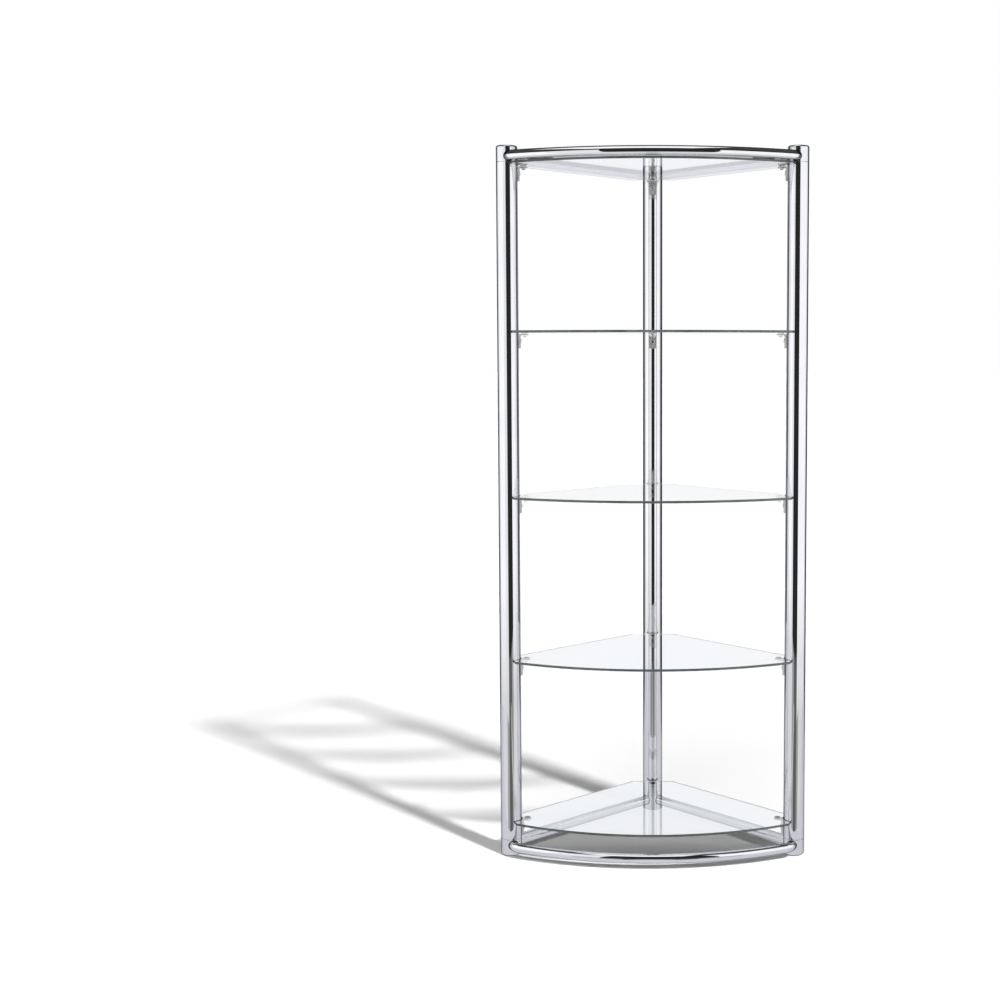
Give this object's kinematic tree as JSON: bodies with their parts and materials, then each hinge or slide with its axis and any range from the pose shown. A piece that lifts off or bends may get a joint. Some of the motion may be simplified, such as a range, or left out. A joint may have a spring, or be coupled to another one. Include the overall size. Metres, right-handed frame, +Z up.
{
  "type": "corner display shelf",
  "caption": "Free-standing corner display shelf: chromed tube posts and rails with a bowed front carry clear glass shelves on small brackets.",
  "frame": {"origin": "on the floor under the middle of the outline", "axes": "+Z up; the bowed front faces -Y and the room's corner lies behind the rear post at +Y"},
  "size_m": [0.5116, 0.3447, 1.18],
  "materials": {
    "tube_chrome": "mirror chrome plate",
    "casting_chrome": "mirror chrome plate",
    "bracket_chrome": "chrome plate",
    "clear_glass": "polished, green-grey edge",
    "pad_rubber": "pale translucent",
    "bright_screw": "bright",
    "zinc_steel": "zinc plate",
    "glide_plastic": "matt"
  },
  "bodies": {
    "frame": {"bottom_front_left_casting": "casting_chrome", "bottom_front_rail": "tube_chrome", "bottom_front_right_casting": "casting_chrome", "bottom_left_rail": "tube_chrome", "bottom_rear_casting": "casting_chrome", "bottom_right_rail": "tube_chrome", "bracket_screws": "bright_screw", "front_left_bracket_1": "bracket_chrome", "front_left_bracket_2": "bracket_chrome", "front_left_bracket_3": "bracket_chrome", "front_left_bracket_4": "bracket_chrome", "front_left_bracket_5": "bracket_chrome", "front_left_glide": "glide_plastic", "front_left_post": "tube_chrome", "front_right_bracket_1": "bracket_chrome", "front_right_bracket_2": "bracket_chrome", "front_right_bracket_3": "bracket_chrome", "front_right_bracket_4": "bracket_chrome", "front_right_bracket_5": "bracket_chrome", "front_right_glide": "glide_plastic", "front_right_post": "tube_chrome", "glass_shelf_1": "clear_glass", "rail_bolts": "zinc_steel", "rail_end_plates": "zinc_steel", "rear_bracket_1": "bracket_chrome", "rear_bracket_2": "bracket_chrome", "rear_bracket_3": "bracket_chrome", "rear_bracket_4": "bracket_chrome", "rear_bracket_5": "bracket_chrome", "rear_glide": "glide_plastic", "rear_post": "tube_chrome", "shelf_pads_1": "pad_rubber", "shelf_pads_2": "pad_rubber", "shelf_pads_3": "pad_rubber", "shelf_pads_4": "pad_rubber", "shelf_pads_5": "pad_rubber", "top_front_left_casting": "casting_chrome", "top_front_rail": "tube_chrome", "top_front_right_casting": "casting_chrome", "top_left_rail": "tube_chrome", "top_rear_casting": "casting_chrome", "top_right_rail": "tube_chrome"},
    "shelf_2": {"glass_shelf_2": "clear_glass"},
    "shelf_3": {"glass_shelf_3": "clear_glass"},
    "shelf_4": {"glass_shelf_4": "clear_glass"},
    "shelf_5": {"glass_shelf_5": "clear_glass"}
  },
  "joints": [
    {"name": "shelf_2_lift", "type": "slide", "parent": "frame", "child": "shelf_2", "axis": [0, 0, 1], "range_m": [0, 0.24]},
    {"name": "shelf_3_lift", "type": "slide", "parent": "frame", "child": "shelf_3", "axis": [0, 0, 1], "range_m": [0, 0.24]},
    {"name": "shelf_4_lift", "type": "slide", "parent": "frame", "child": "shelf_4", "axis": [0, 0, 1], "range_m": [0, 0.24]},
    {"name": "shelf_5_lift", "type": "slide", "parent": "frame", "child": "shelf_5", "axis": [0, 0, 1], "range_m": [0, 0.24]}
  ]
}
